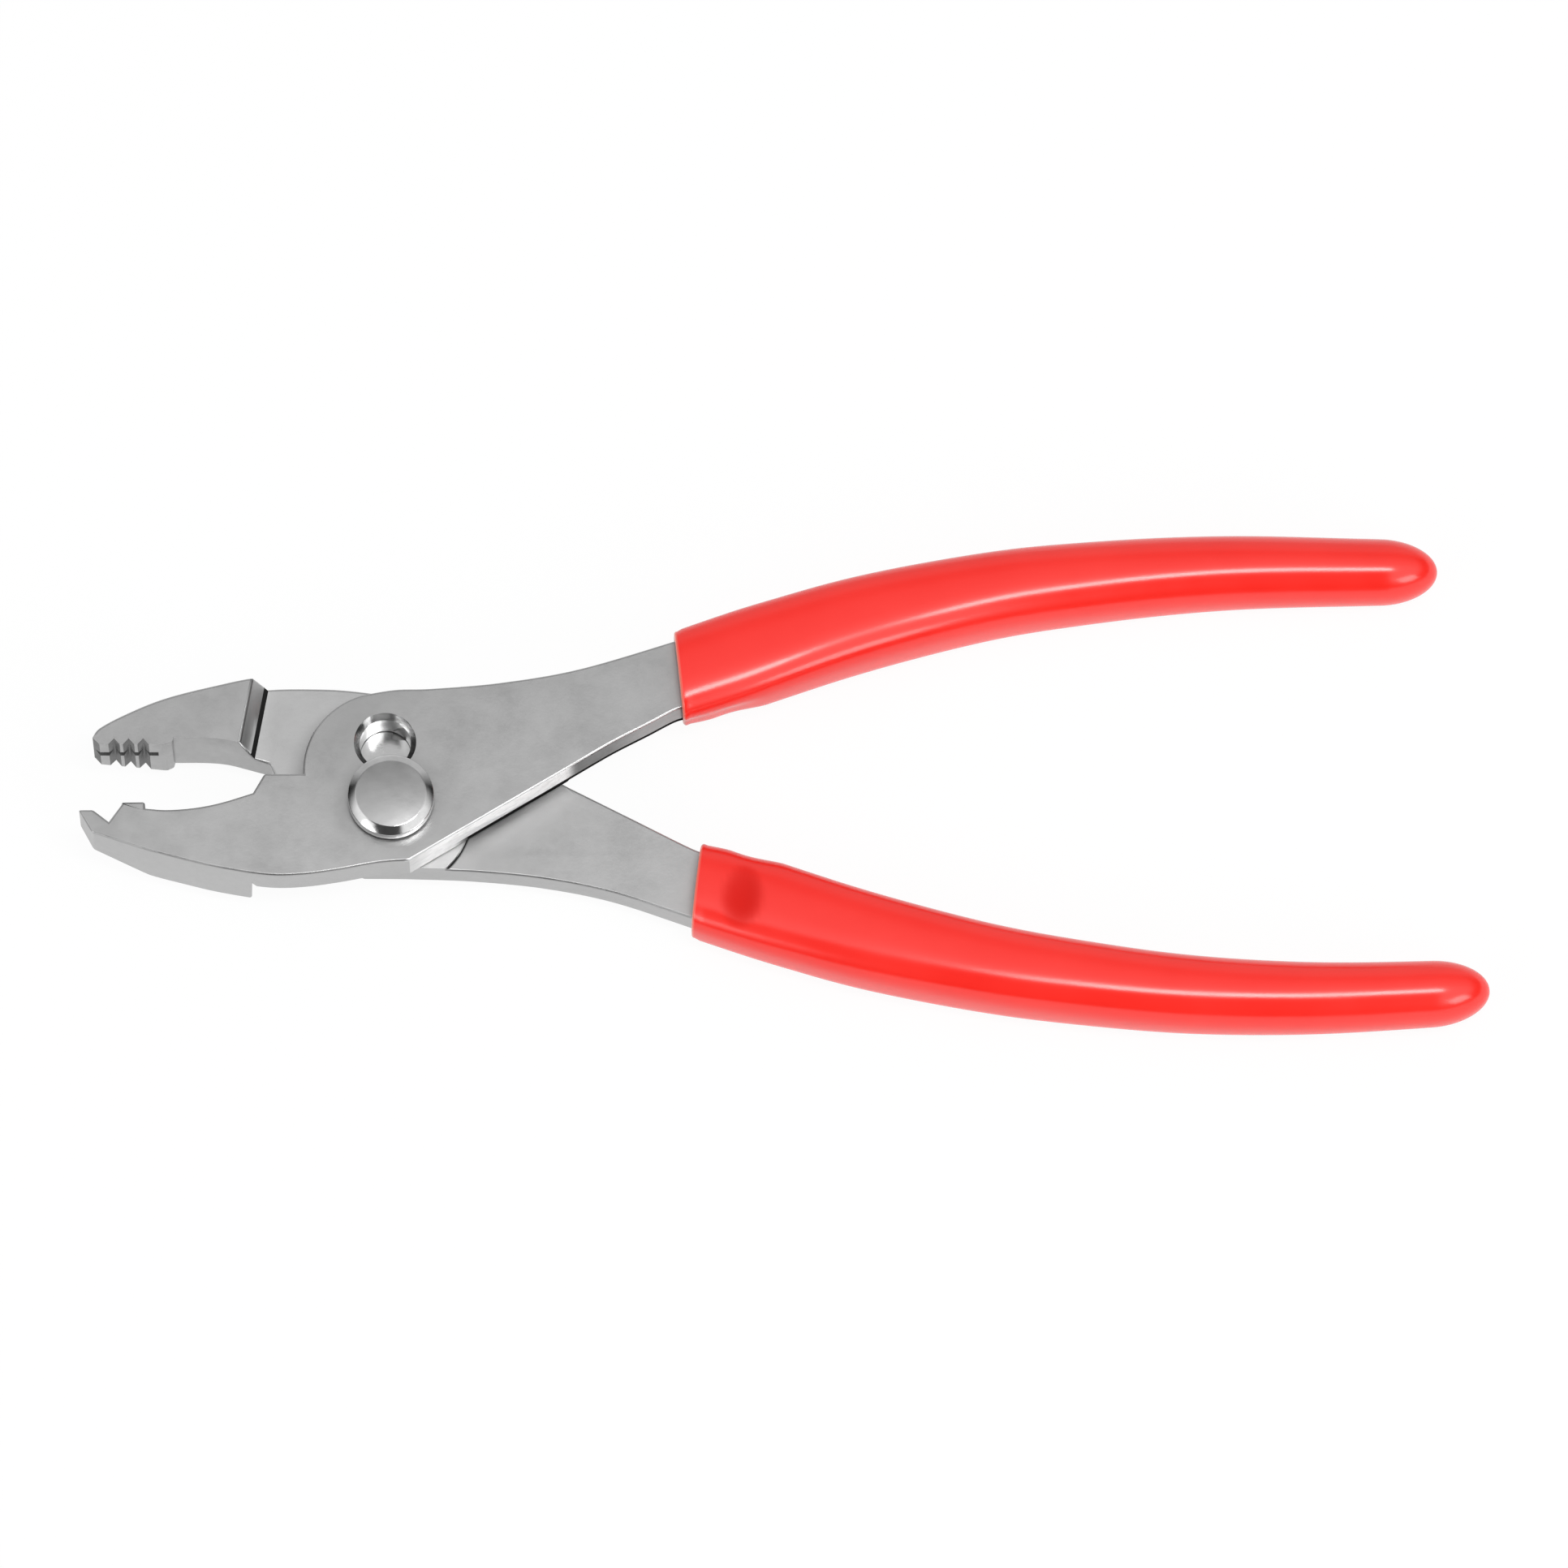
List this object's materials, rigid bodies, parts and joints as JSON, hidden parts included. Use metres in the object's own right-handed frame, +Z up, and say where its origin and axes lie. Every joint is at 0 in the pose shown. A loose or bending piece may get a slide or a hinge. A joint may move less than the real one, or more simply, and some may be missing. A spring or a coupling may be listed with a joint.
{
  "type": "hose clamp pliers",
  "caption": "Slip-joint hose clamp pliers: half-lapped steel levers on a bolt that shifts in a lobed slot, a notched lower jaw, a cross-cut upper jaw and dipped red handle grips.",
  "frame": {"origin": "on the pivot axis, in the plane that the pliers rest on, at the flat end of the pivot bolt", "axes": "+X from the pivot towards the handles, +Y towards the upper handle, +Z up along the pivot axis to the bolt's head"},
  "size_m": [0.2031, 0.0758, 0.0172],
  "materials": {
    "lever_steel": "satin nickel-plated forging",
    "bolt_steel": "bright polished nickel plate",
    "grip_vinyl": "smooth satin red dipped vinyl"
  },
  "bodies": {
    "front_half": {"front_lever": "lever_steel", "upper_grip": "grip_vinyl"},
    "pivot": {"pivot_bolt": "bolt_steel", "pivot_nut": "bolt_steel"},
    "rear_half": {"rear_lever": "lever_steel", "lower_grip": "grip_vinyl"}
  },
  "joints": [
    {"name": "slip_shift", "type": "slide", "parent": "front_half", "child": "pivot", "axis": [-0.1045, 0.9945, 0], "range_m": [0, 0.00895]},
    {"name": "handle_hinge", "type": "hinge", "parent": "pivot", "child": "rear_half", "pos_m": [0, 0, 0.0082], "axis": [0, 0, 1], "range_deg": [-35, 12]}
  ]
}
